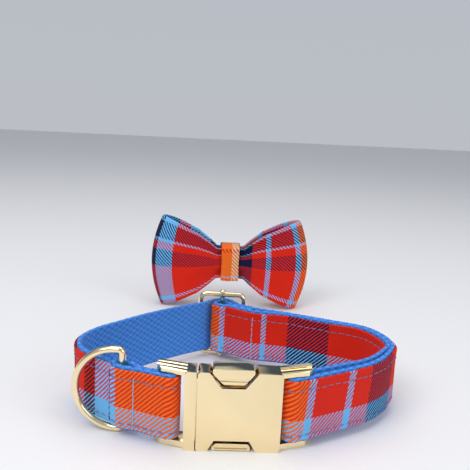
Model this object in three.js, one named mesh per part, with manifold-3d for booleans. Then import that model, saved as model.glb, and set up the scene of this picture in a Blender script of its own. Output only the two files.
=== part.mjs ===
// Pet bow tie collar: a webbing collar with a plaid strip, a side-release
// buckle, a slider and a D-ring, and its bow tie standing apart behind it.
// Millimetres, +Z up, front towards -Y. The plan is drawn about the middle of
// the buckle's front plate; at the end everything moves so that the middle of
// the bounding box's bottom is the origin.
import * as THREE from 'three';
import Module from 'manifold-3d';

const wasm = await Module();
wasm.setup();

// ---------------------------------------------------------------- sizes (mm)
const STRAP_W = 25.4;        // width of the webbing
const STRAP_Z = 2.9;         // the strap's lower edge above the floor at the buckle
const STRAP_RISE = 1.0;      // and this much higher at the slider, whose ball is on the floor
const WEB_T = 1.6;           // webbing thickness
const PLAID_T = 1.0;         // sewn-on plaid strip, hemmed
const PLAID_W = 23.5;        // plaid strip width
const SEAM = 0.05;           // air between sewn faces
const LAYER_GAP = 0.12;      // air between two layers that lie together

const ARM_OVER = 2.3;        // metal above the strap's upper edge
const BUCKLE_H = STRAP_Z + STRAP_W + ARM_OVER;   // 30.6, buckle height (Z)
const SLOT_CLEAR = 0.25;     // between the strap's edges and the arms
const BUCKLE_T = 8.6;        // buckle thickness (Y)
const FEMALE_X0 = -13.2;     // seam side of the female body
const FEMALE_X1 = 17.7;      // its strap side
const MALE_X0 = -17.8;       // male block
const MALE_X1 = -13.6;
const WALL = 1.6;            // front and back plates
const ARM_TIP_R = 29.3;      // end of the arms at the right
const ARM_TIP_L = -28.2;     // end of the arms at the left
const ARM_Y0 = 1.2;
const ARM_SWEEP = 18;        // degrees that the arms turn back, as the strap does
const RIDGE_D = 0.9;         // depth of the grooves between an arm's ridges
const RIDGES_R = [[0, 0.34], [0.66, 1]];                       // shares of an arm's width
const RIDGES_L = [[0, 0.23], [0.385, 0.615], [0.77, 1]];
const BAR_R = 1.3;           // strap bars
const BAR_Y = 4.9;
const BAR_RIGHT_X = 22.1;
const BAR_LEFT_X = -23.4;
const BAR_CLEAR = 0.15;

const NOTCH_TOP = 8.9;       // half length of the lever cut-out at the edge
const NOTCH_IN = 4.3;        // and at its floor
const NOTCH_D = 5.9;         // its depth
const NOTCH_X = -0.1;
const LOW_IN = 6.5;          // the lower cut-out is shallower and straighter
const LOW_D = 4.2;
const LEVER_HALF = 7.8;      // half length of a lever's button
const LEVER_H = 5.8;         // button height
const LEVER_PROUD = 1.2;     // it stands above the top edge
const LEVER_SWING = 0.4;     // shorter at its free end, for the press
const LOW_SUNK = 0.4;        // the lower button stays inside the lower edge
const LOW_H = 2.6;           // its height
const LOW_HALF = 7.3;        // its half length
const TONGUE_HALF = 6.0;     // hidden tongue
const TONGUE_SHORT = 7.2;
const PIVOT_X = -10.4;
const PIVOT_IN = 4.7;        // pivot below the body's edge
const PIN_R = 0.8;

const SLIDER_X = -3.6;
const SLIDER_TILT = -5.0;    // degrees
const SLIDER_HALF_L = 10.9;  // centre line of the ring
const SLIDER_HALF_H = 15.2;
const SLIDER_CORNER = 3.2;
const SLIDER_R = 1.25;       // wire radius
const BALL_R = 1.5;
const SLIDER_POST = 1.0;     // the balls' middles stand past the ring's
const SLIDER_Z = SLIDER_HALF_H + SLIDER_POST + BALL_R;   // on its lower ball
const END_CLEAR = 0.42;

const RING_R = 1.35;         // D-ring wire radius
const RING_HALF_H = 15.8;    // centre line
const RING_Z = RING_HALF_H + RING_R + 0.1;   // clear of the floor and of the strap's lower edge
const RING_REACH = 18.5;     // bar to the far side, centre line
const RING_TURN = 172.0;     // direction in plan, degrees
const RING_CORNER = 1.6;
const RING_CLEAR = 0.25;

const LOOP_HALF = 70.0;      // right bend from the buckle's middle
const LOOP_BACK = 89.0;      // depth of the loop behind the buckle's front
const SLIDER_Y = LOOP_BACK + 0.6;

const BOW_X = 2.0;
const BOW_Y = 175.0;         // stands on its own, this far behind the buckle
const BOW_HALF_L = 50.0;
const BOW_HALF_H = 29.0;
const BOW_WALL = 1.8;
const BOW_BULGE = 6.5;       // ends bow outwards by this much
const BOW_DEPTH = 8.5;       // half depth of a lobe
const BOW_PINCH = 5.0;       // half depth in the knot
const PLEAT = 3.0;           // depth of the two folds at the knot
const PLEAT_AT = 0.6;        // where they run, as a share of the half height
const PLEAT_W = 0.24;        // how wide they are towards the middle
const PLEAT_OUT = 0.45;      // and towards the edges
const KNOT_HALF_W = 5.65;
const KNOT_T = 1.3;
const ELASTIC_HALF_W = 6.3;
const ELASTIC_T = 1.2;
const ELASTIC_SLOT = 4.4;    // clear depth for the strap
const ELASTIC_HALF_H = 9.0;  // clear half height, not stretched

// --------------------------------------------------------------- small tools
const rad = (d) => d * Math.PI / 180;
const lerp = (a, b, t) => a + (b - a) * t;
const smooth = (t) => { const c = Math.min(1, Math.max(0, t)); return c * c * (3 - 2 * c); };

function table(rows, x) {                       // straight lines between rows
  if (x <= rows[0][0]) return rows[0][1];
  for (let i = 1; i < rows.length; i++)
    if (x <= rows[i][0])
      return lerp(rows[i - 1][1], rows[i][1], (x - rows[i - 1][0]) / (rows[i][0] - rows[i - 1][0]));
  return rows[rows.length - 1][1];
}

function toManifold(g) {
  const ix = g.index ? Array.from(g.index.array) : [...Array(g.attributes.position.count).keys()];
  const p = g.attributes.position.array;
  const key = new Map(), verts = [], remap = [];
  for (let i = 0; i < p.length / 3; i++) {
    const k = [0, 1, 2].map((c) => Math.round(p[3 * i + c] * 1e4)).join(',');
    if (!key.has(k)) { key.set(k, verts.length / 3); verts.push(p[3 * i], p[3 * i + 1], p[3 * i + 2]); }
    remap.push(key.get(k));
  }
  const tris = [];
  for (let i = 0; i < ix.length; i += 3) {
    const a = remap[ix[i]], b = remap[ix[i + 1]], c = remap[ix[i + 2]];
    if (a !== b && b !== c && a !== c) tris.push(a, b, c);
  }
  return new wasm.Manifold(new wasm.Mesh({
    numProp: 3, vertProperties: new Float32Array(verts), triVerts: new Uint32Array(tris),
  }));
}

function fromManifold(m) {
  const mesh = m.getMesh();
  const g = new THREE.BufferGeometry();
  const n = mesh.vertProperties.length / mesh.numProp;
  const pos = new Float32Array(n * 3);
  for (let i = 0; i < n; i++) for (let c = 0; c < 3; c++) pos[3 * i + c] = mesh.vertProperties[mesh.numProp * i + c];
  g.setAttribute('position', new THREE.BufferAttribute(pos, 3));
  g.setIndex(new THREE.BufferAttribute(new Uint32Array(mesh.triVerts), 1));
  return g;
}

// outline in (x, z), drawn anticlockwise seen from the front, from y0 to y1
function slab(points, y0, y1) {
  const shape = new THREE.Shape(points.map(([x, z]) => new THREE.Vector2(x, z)));
  const g = new THREE.ExtrudeGeometry(shape, { depth: y1 - y0, bevelEnabled: false });
  g.rotateX(Math.PI / 2);                       // shape y -> z, depth -> -y
  g.translate(0, y1, 0);
  return toManifold(g);
}

// outline in plan (x, y), from z0 to z1
function post(points, z0, z1) {
  const shape = new THREE.Shape(points.map(([x, y]) => new THREE.Vector2(x, y)));
  const g = new THREE.ExtrudeGeometry(shape, { depth: z1 - z0, bevelEnabled: false });
  g.translate(0, 0, z0);
  return toManifold(g);
}

// a profile (s, h) drawn out over a length d, each point placed by put(s, h, d)
function drawn(profile, length, put) {
  const shape = new THREE.Shape(profile.map(([a, b]) => new THREE.Vector2(a, b)));
  const g = new THREE.ExtrudeGeometry(shape, { depth: length, bevelEnabled: false });
  const p = g.attributes.position;
  for (let i = 0; i < p.count; i++) p.setXYZ(i, ...put(p.getX(i), p.getY(i), p.getZ(i)));
  g.setIndex([...Array(p.count).keys()]);
  return toManifold(outward(g));
}

const block = (x0, x1, y0, y1, z0, z1) => {
  const g = new THREE.BoxGeometry(x1 - x0, y1 - y0, z1 - z0);
  g.translate((x0 + x1) / 2, (y0 + y1) / 2, (z0 + z1) / 2);
  return toManifold(g);
};

function rod(x, y, z0, z1, r, sides = 20) {
  const pts = [];
  for (let i = 0; i < sides; i++) pts.push([x + r * Math.cos(2 * Math.PI * i / sides), y + r * Math.sin(2 * Math.PI * i / sides)]);
  return post(pts, z0, z1);
}

function pinY(x, z, y0, y1, r, sides = 20) {
  const pts = [];
  for (let i = 0; i < sides; i++) pts.push([x + r * Math.cos(2 * Math.PI * i / sides), z + r * Math.sin(2 * Math.PI * i / sides)]);
  return slab(pts, y0, y1);
}

// a round wire along a closed line that lies in one upright plane
function wire(line, r, sides = 10) {
  const n = line.length, pos = [], idx = [];
  for (let i = 0; i < n; i++) {
    const a = line[(i + n - 1) % n], b = line[(i + 1) % n], p = line[i];
    const tx = b[0] - a[0], tz = b[1] - a[1], l = Math.hypot(tx, tz);
    const nx = -tz / l, nz = tx / l;
    for (let k = 0; k < sides; k++) {
      const f = 2 * Math.PI * (k + 0.5) / sides;
      pos.push(p[0] + nx * r * Math.cos(f), r * Math.sin(f), p[1] + nz * r * Math.cos(f));
    }
  }
  for (let i = 0; i < n; i++) for (let k = 0; k < sides; k++) {
    const i2 = (i + 1) % n, k2 = (k + 1) % sides;
    const a = i * sides + k, b = i2 * sides + k, c = i2 * sides + k2, d = i * sides + k2;
    idx.push(a, b, c, a, c, d);
  }
  const g = new THREE.BufferGeometry();
  g.setAttribute('position', new THREE.BufferAttribute(new Float32Array(pos), 3));
  g.setIndex(idx);
  return g;
}

function outward(g) {                           // turn the faces if the volume is negative
  const p = g.attributes.position.array, ix = g.index.array;
  let v = 0;
  for (let i = 0; i < ix.length; i += 3) {
    const [a, b, c] = [ix[i], ix[i + 1], ix[i + 2]].map((k) => [p[3 * k], p[3 * k + 1], p[3 * k + 2]]);
    v += a[0] * (b[1] * c[2] - b[2] * c[1]) - a[1] * (b[0] * c[2] - b[2] * c[0]) + a[2] * (b[0] * c[1] - b[1] * c[0]);
  }
  if (v < 0) {
    const out = Array.from(ix);
    for (let i = 0; i < out.length; i += 3) [out[i + 1], out[i + 2]] = [out[i + 2], out[i + 1]];
    g.setIndex(out);
  }
  return g;
}

// ----------------------------------------------------- the strap's own course
// The strap is one length: sewn end at the slider, round its bar, the inner
// layer to the buckle's right bar, the outer layer all the way round through
// the slider to the left bar, and back past the D-ring. The plaid is always on
// the right hand of the way it runs.
const ON_BAR = BAR_R + BAR_CLEAR + WEB_T / 2;          // webbing's middle round a bar
const STRIP_OFF = WEB_T / 2 + SEAM + PLAID_T / 2;      // plaid's middle beside it
const SKIN = WEB_T / 2 + SEAM + PLAID_T;               // webbing's middle to the plaid face
const TOUCH = (WEB_T + LAYER_GAP) / 2;                 // two layers, blue to blue
const OVER = SKIN + LAYER_GAP + WEB_T / 2;             // a layer outside a plaid face

// middle of the two layers at the right: x and y as shares of LOOP_HALF and
// LOOP_BACK, and how far each layer's middle stands from it in mm
const RIGHT = [   // across, back, apart
  [0.437, 0.105, 2.22],
  [0.515, 0.136, 2.15],
  [0.646, 0.190, 2.12],
  [0.750, 0.236, 1.75],
  [0.849, 0.305, 1.42],
  [0.925, 0.386, 1.15],
  [0.963, 0.436, 0.90],
  [0.966, 0.512, TOUCH],
  [0.931, 0.594, TOUCH],
  [0.883, 0.650, TOUCH],
  [0.826, 0.684, TOUCH],
  [0.689, 0.731, TOUCH],
  [0.543, 0.783, TOUCH],
  [0.391, 0.836, TOUCH],
];
// the left side, single and double
const LEFT_SINGLE = [   // across, back: slider to the two sewn layers
  [-0.350, 0.888],
  [-0.544, 0.759],
  [-0.716, 0.623],
  [-0.818, 0.540],
  [-0.872, 0.469],
  [-0.894, 0.404],
  [-0.876, 0.324],
  [-0.822, 0.262],
  [-0.742, 0.209],
];
const SEWN_END = 8.5;        // the folded end beyond the slider's ring
const LEAVE = 117;           // degrees on the ring's right end where the strap leaves it
const STITCH_B = [-0.640, 0.160];
const STITCH_A = [-0.504, 0.096];
const NEAR_LEFT_BAR = [-0.415, 0.067];
const RING_AT = 0.68;        // the D-ring's bar between stitch A and stitch B
const RING_X = lerp(STITCH_A[0], STITCH_B[0], RING_AT) * LOOP_HALF;
const RING_Y = lerp(STITCH_A[1], STITCH_B[1], RING_AT) * LOOP_BACK;

const rise = (y) => STRAP_RISE * smooth((y / LOOP_BACK - 0.22) / 0.6);
const sliderFrame = (a, b) => {
  const c = Math.cos(rad(SLIDER_TILT)), s = Math.sin(rad(SLIDER_TILT));
  return [SLIDER_X + a * c - b * s, SLIDER_Y + a * s + b * c];
};
const arcPoints = (cx, cy, r, from, to, n, place = (x, y) => [x, y]) => {
  const out = [];
  for (let i = 0; i <= n; i++) {
    const t = rad(lerp(from, to, i / n));
    out.push(place(cx + r * Math.cos(t), cy + r * Math.sin(t)));
  }
  return out;
};

function strapLine() {
  const share = ([x, y]) => [x * LOOP_HALF, y * LOOP_BACK];
  const rightMid = RIGHT.map(share);
  const side = (k) => rightMid.map((p, i) => {         // k = -1 inner, +1 outer
    const a = rightMid[Math.max(0, i - 1)], b = rightMid[Math.min(rightMid.length - 1, i + 1)];
    const l = Math.hypot(b[0] - a[0], b[1] - a[1]);
    const n = [(b[1] - a[1]) / l, -(b[0] - a[0]) / l];   // points out of the loop
    return [p[0] + k * RIGHT[i][2] * n[0], p[1] + k * RIGHT[i][2] * n[1]];
  });
  const onBar = SLIDER_R + BAR_CLEAR + WEB_T / 2;      // round the slider's bar
  const runR = onBar + OVER + 0.12;                    // running strap over that
  const endR = SLIDER_R + END_CLEAR + SKIN;            // inside the ring's ends
  const cross = Math.asin((runR + endR) / SLIDER_HALF_L) * 180 / Math.PI;
  const pts = [];
  // sewn end, under the running strap, up to the bar
  const under = endR + OVER;
  const stub = arcPoints(SLIDER_HALF_L, 0, under, -LEAVE, -90 - cross, 3, sliderFrame);
  const heading = rad(90 - LEAVE + SLIDER_TILT);       // the strap's way right of the slider
  const along = (p, d) => [p[0] + d * Math.cos(heading), p[1] + d * Math.sin(heading)];
  pts.push(along(stub[0], SEWN_END), along(stub[0], SEWN_END / 2), ...stub);
  // round the slider's bar, opening towards the inside of the loop
  const turn = [[90 - cross, onBar], [70, onBar], [95, onBar], [125, onBar], [152, onBar + 0.08], [182, onBar + 0.85],
    [215, onBar + 1.7], [245, onBar + 2.3], [270, onBar + 2.6]];
  for (const [deg, r] of turn) pts.push(sliderFrame(r * Math.cos(rad(deg)), r * Math.sin(rad(deg))));
  // inner layer to the right
  const third = under + WEB_T + LAYER_GAP;
  const low = arcPoints(SLIDER_HALF_L, 0, third, -90 - cross + 6, -LEAVE, 2, sliderFrame);
  pts.push(...low, along(low[2], SEWN_END / 2), along(low[2], SEWN_END));
  pts.push(...side(-1).reverse());
  // round the buckle's right bar
  pts.push(...arcPoints(BAR_RIGHT_X, BAR_Y, ON_BAR, 118, 302, 9));
  // outer layer round the right
  pts.push(...side(1));
  // over the sewn end, past the ring's end, over the bar, past the other end
  const over = arcPoints(SLIDER_HALF_L, 0, endR, -LEAVE, -90 - cross, 3, sliderFrame);
  pts.push(along(over[0], SEWN_END + LAYER_GAP * 8), along(over[0], SEWN_END / 2), ...over);
  pts.push(...arcPoints(0, 0, runR, 90 - cross, 90 + cross, 8, sliderFrame));
  pts.push(...arcPoints(-SLIDER_HALF_L, 0, endR, -90 + cross, -90 + cross - 4, 1, sliderFrame));
  pts.push(...LEFT_SINGLE.map(share));
  // the sewn double end with the D-ring's pocket
  const A = share(STITCH_A), B = share(STITCH_B), N = share(NEAR_LEFT_BAR), D = [RING_X, RING_Y];
  const n = (() => { const l = Math.hypot(A[0] - B[0], A[1] - B[1]); return [(A[1] - B[1]) / l, -(A[0] - B[0]) / l]; })();
  const off = (p, k) => [p[0] + n[0] * k, p[1] + n[1] * k];
  const pocket = RING_R + RING_CLEAR + WEB_T / 2;
  const ease = pocket * 0.145;
  const mid = (p, q, t) => [lerp(p[0], q[0], t), lerp(p[1], q[1], t)];
  pts.push(off(B, TOUCH), off(mid(B, D, 0.55), pocket - ease), off(D, pocket), off(mid(D, A, 0.45), pocket - ease), off(A, TOUCH), off(N, TOUCH + 0.25));
  pts.push(...arcPoints(BAR_LEFT_X, BAR_Y, ON_BAR, -98, 98, 9));
  pts.push(off(N, -TOUCH - 0.25), off(A, -TOUCH), off(mid(D, A, 0.45), -pocket + ease), off(D, -pocket), off(mid(B, D, 0.55), -pocket + ease), off(B, -TOUCH - 0.12));
  pts.push(off([lerp(B[0], A[0], -0.12), lerp(B[1], A[1], -0.12)], -TOUCH - 0.4));
  return pts;
}

// even points along a smooth line through the given ones, closer in tight bends
function resample(points, coarse, turnStep) {
  const curve = new THREE.CatmullRomCurve3(points.map(([x, y]) => new THREE.Vector3(x, y, 0)), false, 'centripetal');
  curve.arcLengthDivisions = 6000;
  const fine = curve.getSpacedPoints(5200);
  const out = [fine[0]];
  let run = 0, bend = 0;
  for (let i = 1; i < fine.length - 1; i++) {
    const a = fine[i - 1], b = fine[i], c = fine[i + 1];
    run += b.distanceTo(a);
    const t1 = Math.atan2(b.y - a.y, b.x - a.x), t2 = Math.atan2(c.y - b.y, c.x - b.x);
    let d = t2 - t1;
    while (d > Math.PI) d -= 2 * Math.PI;
    while (d < -Math.PI) d += 2 * Math.PI;
    bend += Math.abs(d);
    if (run > coarse || bend > turnStep) { out.push(b); run = 0; bend = 0; }
  }
  out.push(fine[fine.length - 1]);
  return out.map((v) => [v.x, v.y]);
}

// a band that stands on edge: middle line moved right by `off`, half thickness h
function band(line, off, h, z0, z1) {
  const n = line.length, L = [], R = [];
  for (let i = 0; i < n; i++) {
    const a = line[Math.max(0, i - 1)], b = line[Math.min(n - 1, i + 1)];
    const l = Math.hypot(b[0] - a[0], b[1] - a[1]);
    const nx = (b[1] - a[1]) / l, ny = -(b[0] - a[0]) / l;
    R.push([line[i][0] + nx * (off + h), line[i][1] + ny * (off + h)]);
    L.push([line[i][0] + nx * (off - h), line[i][1] + ny * (off - h)]);
  }
  const pos = [], idx = [];
  for (let i = 0; i < n; i++) for (const [p, z] of [[R[i], z0], [L[i], z0], [L[i], z1], [R[i], z1]]) pos.push(p[0], p[1], z + rise(line[i][1]));
  for (let i = 0; i < n - 1; i++) for (let k = 0; k < 4; k++) {
    const a = 4 * i + k, b = 4 * i + (k + 1) % 4, c = 4 * (i + 1) + (k + 1) % 4, d = 4 * (i + 1) + k;
    idx.push(a, b, c, a, c, d);
  }
  const e = 4 * (n - 1);
  idx.push(0, 2, 1, 0, 3, 2, e, e + 1, e + 2, e, e + 2, e + 3);
  const g = new THREE.BufferGeometry();
  g.setAttribute('position', new THREE.BufferAttribute(new Float32Array(pos), 3));
  g.setIndex(idx);
  return outward(g);
}

// ------------------------------------------------------------------- hardware
function mirrorZ(points) { return points.map(([x, z]) => [x, BUCKLE_H - z]).reverse(); }

// the arms above and below the strap, ridged and swept back with it, and the bar between them
function arms(x0, x1, ridges, barX) {
  const width = BUCKLE_T - ARM_Y0, lo = STRAP_Z - SLOT_CLEAR, hi = STRAP_Z + STRAP_W + SLOT_CLEAR;
  const dir = Math.sign(x1 - x0), length = Math.abs(x1 - x0), back = Math.tan(rad(ARM_SWEEP));
  const c = 0.4, round = 1.6;
  const profile = (h) => {
    const out = [[0, 0], [width, 0]];
    for (const [from, to] of [...ridges].reverse()) {
      const a = from * width, b = to * width;
      if (to < 1) out.push([b, h - RIDGE_D]);
      out.push([b, h - c], [b - c, h], [a + c, h], [a, h - c]);
      if (from > 0) out.push([a, h - RIDGE_D]);
    }
    return out;
  };
  // the tip's two corners are cut
  const near = [x1 - dir * round, ARM_Y0 + back * (length - round)], nearTip = [x1, ARM_Y0 + back * length + round];
  const far = [x1 - dir * round, BUCKLE_T + back * (length - round)], farTip = [x1, BUCKLE_T + back * length - round];
  const past = (p, q) => [2 * p[0] - q[0], 2 * p[1] - q[1]];
  const plan = [[x0 - dir, ARM_Y0 - width], past(near, nearTip), past(nearTip, near), past(farTip, far), past(far, farTip), [x0 - dir, BUCKLE_T + width]];
  const upper = drawn(profile(BUCKLE_H - hi), length, (s, h, d) => [x0 + dir * d, ARM_Y0 + s + back * d, hi + h]);
  const lower = drawn(profile(lo), length, (s, h, d) => [x0 + dir * d, ARM_Y0 + s + back * d, lo - h]);
  return upper.add(lower).intersect(post(plan, -1, BUCKLE_H + 1)).add(rod(barX, BAR_Y, lo - 0.4, hi + 0.4, BAR_R, 18));
}

function plateOutline(x0, x1) {                 // front plate with both lever cut-outs
  const c = 0.8, n = NOTCH_X;
  const edge = (floor, d) => [[x0, c], [x0 + c, 0], [n - NOTCH_TOP, 0], [n - floor, d], [n + floor, d], [n + NOTCH_TOP, 0], [x1 - c, 0], [x1, c]];
  return [...edge(LOW_IN, LOW_D), ...mirrorZ(edge(NOTCH_IN, NOTCH_D))];
}

function female() {
  const x0 = FEMALE_X0, x1 = FEMALE_X1, e = 2.6;
  let m = slab(plateOutline(x0, x1), 0, WALL).add(slab(plateOutline(x0, x1), BUCKLE_T - WALL, BUCKLE_T));
  m = m.add(block(x1 - 3.4, x1, WALL - 0.2, BUCKLE_T - WALL + 0.2, 0.8, BUCKLE_H - 0.8));
  for (const [a, b] of [[x0, NOTCH_X - NOTCH_TOP], [NOTCH_X + NOTCH_TOP, x1]]) {
    const lo = slab([[a + (a === x0 ? 0.8 : 0), 0], [b - (b === x1 ? 0.8 : 0), 0], [b, e], [a, e]], WALL - 0.2, BUCKLE_T - WALL + 0.2);
    const hi = slab(mirrorZ([[a + (a === x0 ? 0.8 : 0), 0], [b - (b === x1 ? 0.8 : 0), 0], [b, e], [a, e]]), WALL - 0.2, BUCKLE_T - WALL + 0.2);
    m = m.add(lo).add(hi);
  }
  return m.add(arms(x1 - 0.8, ARM_TIP_R, RIDGES_R, BAR_RIGHT_X));
}

function male() {
  const c = 0.8, mid = BUCKLE_H / 2;
  const x0 = MALE_X0, x1 = MALE_X1;
  let m = slab([[x0, c], [x0 + c, 0], [x1 - 0.4, 0], [x1, 0.4], [x1, BUCKLE_H - 0.4], [x1 - 0.4, BUCKLE_H], [x0 + c, BUCKLE_H], [x0, BUCKLE_H - c]], 0, BUCKLE_T);
  // the tongue inside the female body, and the cheeks that carry the levers' pins
  m = m.add(block(x1 - 0.5, FEMALE_X1 - TONGUE_SHORT, WALL + 0.4, BUCKLE_T - WALL - 0.4, mid - TONGUE_HALF, mid + TONGUE_HALF));
  for (const [a, b] of [[WALL + 0.4, WALL + 1.3], [BUCKLE_T - WALL - 1.3, BUCKLE_T - WALL - 0.4]])
    m = m.add(block(x1 - 0.5, PIVOT_X + 1.3, a, b, 3.2, BUCKLE_H - 3.2));
  m = m.add(pinY(PIVOT_X, PIVOT_IN, 2.5, BUCKLE_T - 2.5, PIN_R)).add(pinY(PIVOT_X, BUCKLE_H - PIVOT_IN, 2.5, BUCKLE_T - 2.5, PIN_R));
  return m.add(arms(x0 + 0.8, ARM_TIP_L, RIDGES_L, BAR_LEFT_X));
}

// one lever: an eye on the male part's pin, an arm, and the button in the cut-out
function lever(top) {
  const edge = BUCKLE_H, n = NOTCH_X, pz = edge - PIVOT_IN;
  const h = top ? LEVER_HALF : LOW_HALF;
  const z1 = top ? edge + LEVER_PROUD : edge - LOW_SUNK, z0 = z1 - (top ? LEVER_H : LOW_H);
  const eye = 1.5, y0 = 3.15, y1 = BUCKLE_T - 3.15, skin = 0.35;
  const flip = (pts) => (top ? pts : mirrorZ(pts));
  const at = (z) => (top ? z : BUCKLE_H - z);
  let m = slab(flip([[PIVOT_X, pz - eye], [n - h + 4, pz - eye], [n - h + 4, pz + eye], [PIVOT_X, pz + eye]]), y0, y1)
    .add(pinY(PIVOT_X, at(pz), y0, y1, eye, 20));
  const floor = top ? NOTCH_IN : LOW_IN, depth = top ? NOTCH_D : LOW_D;
  const half = (z) => floor + (z - (edge - depth)) / depth * (NOTCH_TOP - floor) - 0.95;   // beside the cut-out
  const side = top
    ? [[half(z0) - 0.7, z0], [half(z0) + 0.5, z0 + 0.9], [h, edge - 0.4], [h, z1 - 0.3], [h - 0.8, z1]]
    : [[half(z0) - 0.4, z0], [half(z0) + 0.3, z0 + 0.6], [h, z1 - 1.0], [h, z1 - 0.3], [h - 0.5, z1]];
  const free = h - LEVER_SWING;
  m = m.add(slab(flip([...side.map(([x, z]) => [n + Math.min(x, free), z]), ...side.map(([x, z]) => [n - x, z]).reverse()]), skin, BUCKLE_T - skin));
  for (const [a, b] of [[0, skin + 0.5], [BUCKLE_T - skin - 0.5, BUCKLE_T]]) {
    m = top
      ? m.subtract(block(n - h + 2.4, n + h - 2.4, a, b, z0 + 1.2, z0 + 2.1))                   // the step across the button
      : m.subtract(block(n - h + 1.0, n + h - 1.4, a, b, at(z0 + 2.1), at(z0 + 0.5)));          // the recess in the lower one
  }
  if (!top)                                     // a web joins the lower button to its arm
    m = m.add(slab(flip([[n - h + 1, pz + eye - 0.5], [n - h + 4, pz + eye - 0.5], [n - h + 4, z0 + 0.6], [n - h + 1, z0 + 0.6]]), y0, y1));
  return m.subtract(pinY(PIVOT_X, at(pz), y0 - 1, y1 + 1, (PIN_R + 0.04) / Math.cos(Math.PI / 20), 20));
}

function roundedRing(halfL, halfH, corner, steps) {   // closed line, anticlockwise
  const out = [];
  for (const [cx, cz, a] of [[halfL - corner, -halfH + corner, -90], [halfL - corner, halfH - corner, 0], [-halfL + corner, halfH - corner, 90], [-halfL + corner, -halfH + corner, 180]])
    for (let i = 0; i <= steps; i++) {
      const t = rad(a + 90 * i / steps);
      out.push([cx + corner * Math.cos(t), cz + corner * Math.sin(t)]);
    }
  return out;
}

function ball(z, r) {
  const pts = [[0, -r]];
  for (let i = 1; i < 8; i++) { const t = rad(-90 + 180 * i / 8); pts.push([r * Math.cos(t), r * Math.sin(t)]); }
  pts.push([0, r]);
  const g = new THREE.LatheGeometry(pts.map(([a, b]) => new THREE.Vector2(a, b)), 14);
  g.rotateX(Math.PI / 2);
  g.translate(0, 0, z);
  return toManifold(outward(g));
}

function slider() {
  let m = toManifold(outward(wire(roundedRing(SLIDER_HALF_L, SLIDER_HALF_H, SLIDER_CORNER, 6), SLIDER_R, 10)));
  const end = SLIDER_HALF_H + SLIDER_POST;
  m = m.add(rod(0, 0, -end, end, SLIDER_R, 16)).add(ball(end, BALL_R)).add(ball(-end, BALL_R));
  const g = fromManifold(m);
  g.rotateZ(rad(SLIDER_TILT));
  g.translate(SLIDER_X, SLIDER_Y, SLIDER_Z);
  return g;
}

function dRing() {
  // straight bar at x = 0, small corners, then the round of the D
  const H = RING_HALF_H, c = RING_CORNER, line = [];
  const arc = (cx, cz, rx, rz, a, b, n) => { for (let i = 0; i <= n; i++) { const t = rad(lerp(a, b, i / n)); line.push([cx + rx * Math.cos(t), cz + rz * Math.sin(t)]); } };
  for (let i = 0; i < 4; i++) line.push([0, lerp(H - c, -H + c, i / 4)]);
  arc(c, -H + c, c, c, 180, 270, 5);
  const flat = RING_REACH - H;
  arc(flat, 0, H, H, -90, 90, 20);
  arc(c, H - c, c, c, 90, 180, 5);
  line.pop();
  const g = outward(wire(line, RING_R, 10));
  g.rotateZ(rad(RING_TURN));
  g.translate(RING_X, RING_Y, RING_Z);
  return g;
}

// -------------------------------------------------------------------- bow tie
const BOW_EDGE = [   // |x| share of the half length, half height share
  [0.00, 0.330], [0.175, 0.338], [0.27, 0.48], [0.42, 0.66], [0.56, 0.76], [0.70, 0.85], [0.85, 0.93], [1.0, 1.0],
];
const BOW_BODY = [   // |x| share, half depth share of BOW_DEPTH
  [0.00, BOW_PINCH / BOW_DEPTH], [0.12, BOW_PINCH / BOW_DEPTH], [0.25, 0.72], [0.42, 0.95], [0.60, 1.0], [0.80, 0.88], [1.0, 0.66],
];

// middle of the bow's cloth: u 0..1 round the band, w -1..1 from the lower edge up
function bowPoint(u, w) {
  const t = 2 * Math.PI * u;
  const xi = -Math.cos(t);
  const front = Math.sin(t) >= 0 ? 1 : -1;
  const s = Math.abs(xi);
  const half = BOW_HALF_H * table(BOW_EDGE, s);
  const end = BOW_HALF_L - BOW_WALL / 2 - BOW_BULGE * w * w * smooth((s - 0.25) / 0.75);
  const close = Math.pow(Math.max(0, 1 - Math.pow(s, 10)), 0.5);
  const fade = Math.pow(Math.max(0, 1 - s / 0.84), 1.4);
  const fold = PLEAT * fade * Math.exp(-Math.pow((Math.abs(w) - PLEAT_AT) / (Math.abs(w) < PLEAT_AT ? PLEAT_W : PLEAT_OUT), 2)) * (front > 0 ? 1 : 0.35);
  const lean = 0.9 * smooth(s / 0.4) * (1 - w * w) * (front > 0 ? 1 : 0.6);
  const depth = BOW_DEPTH * table(BOW_BODY, s) + lean;
  return [xi * end, -front * close * (depth - fold), w * half];
}

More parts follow.
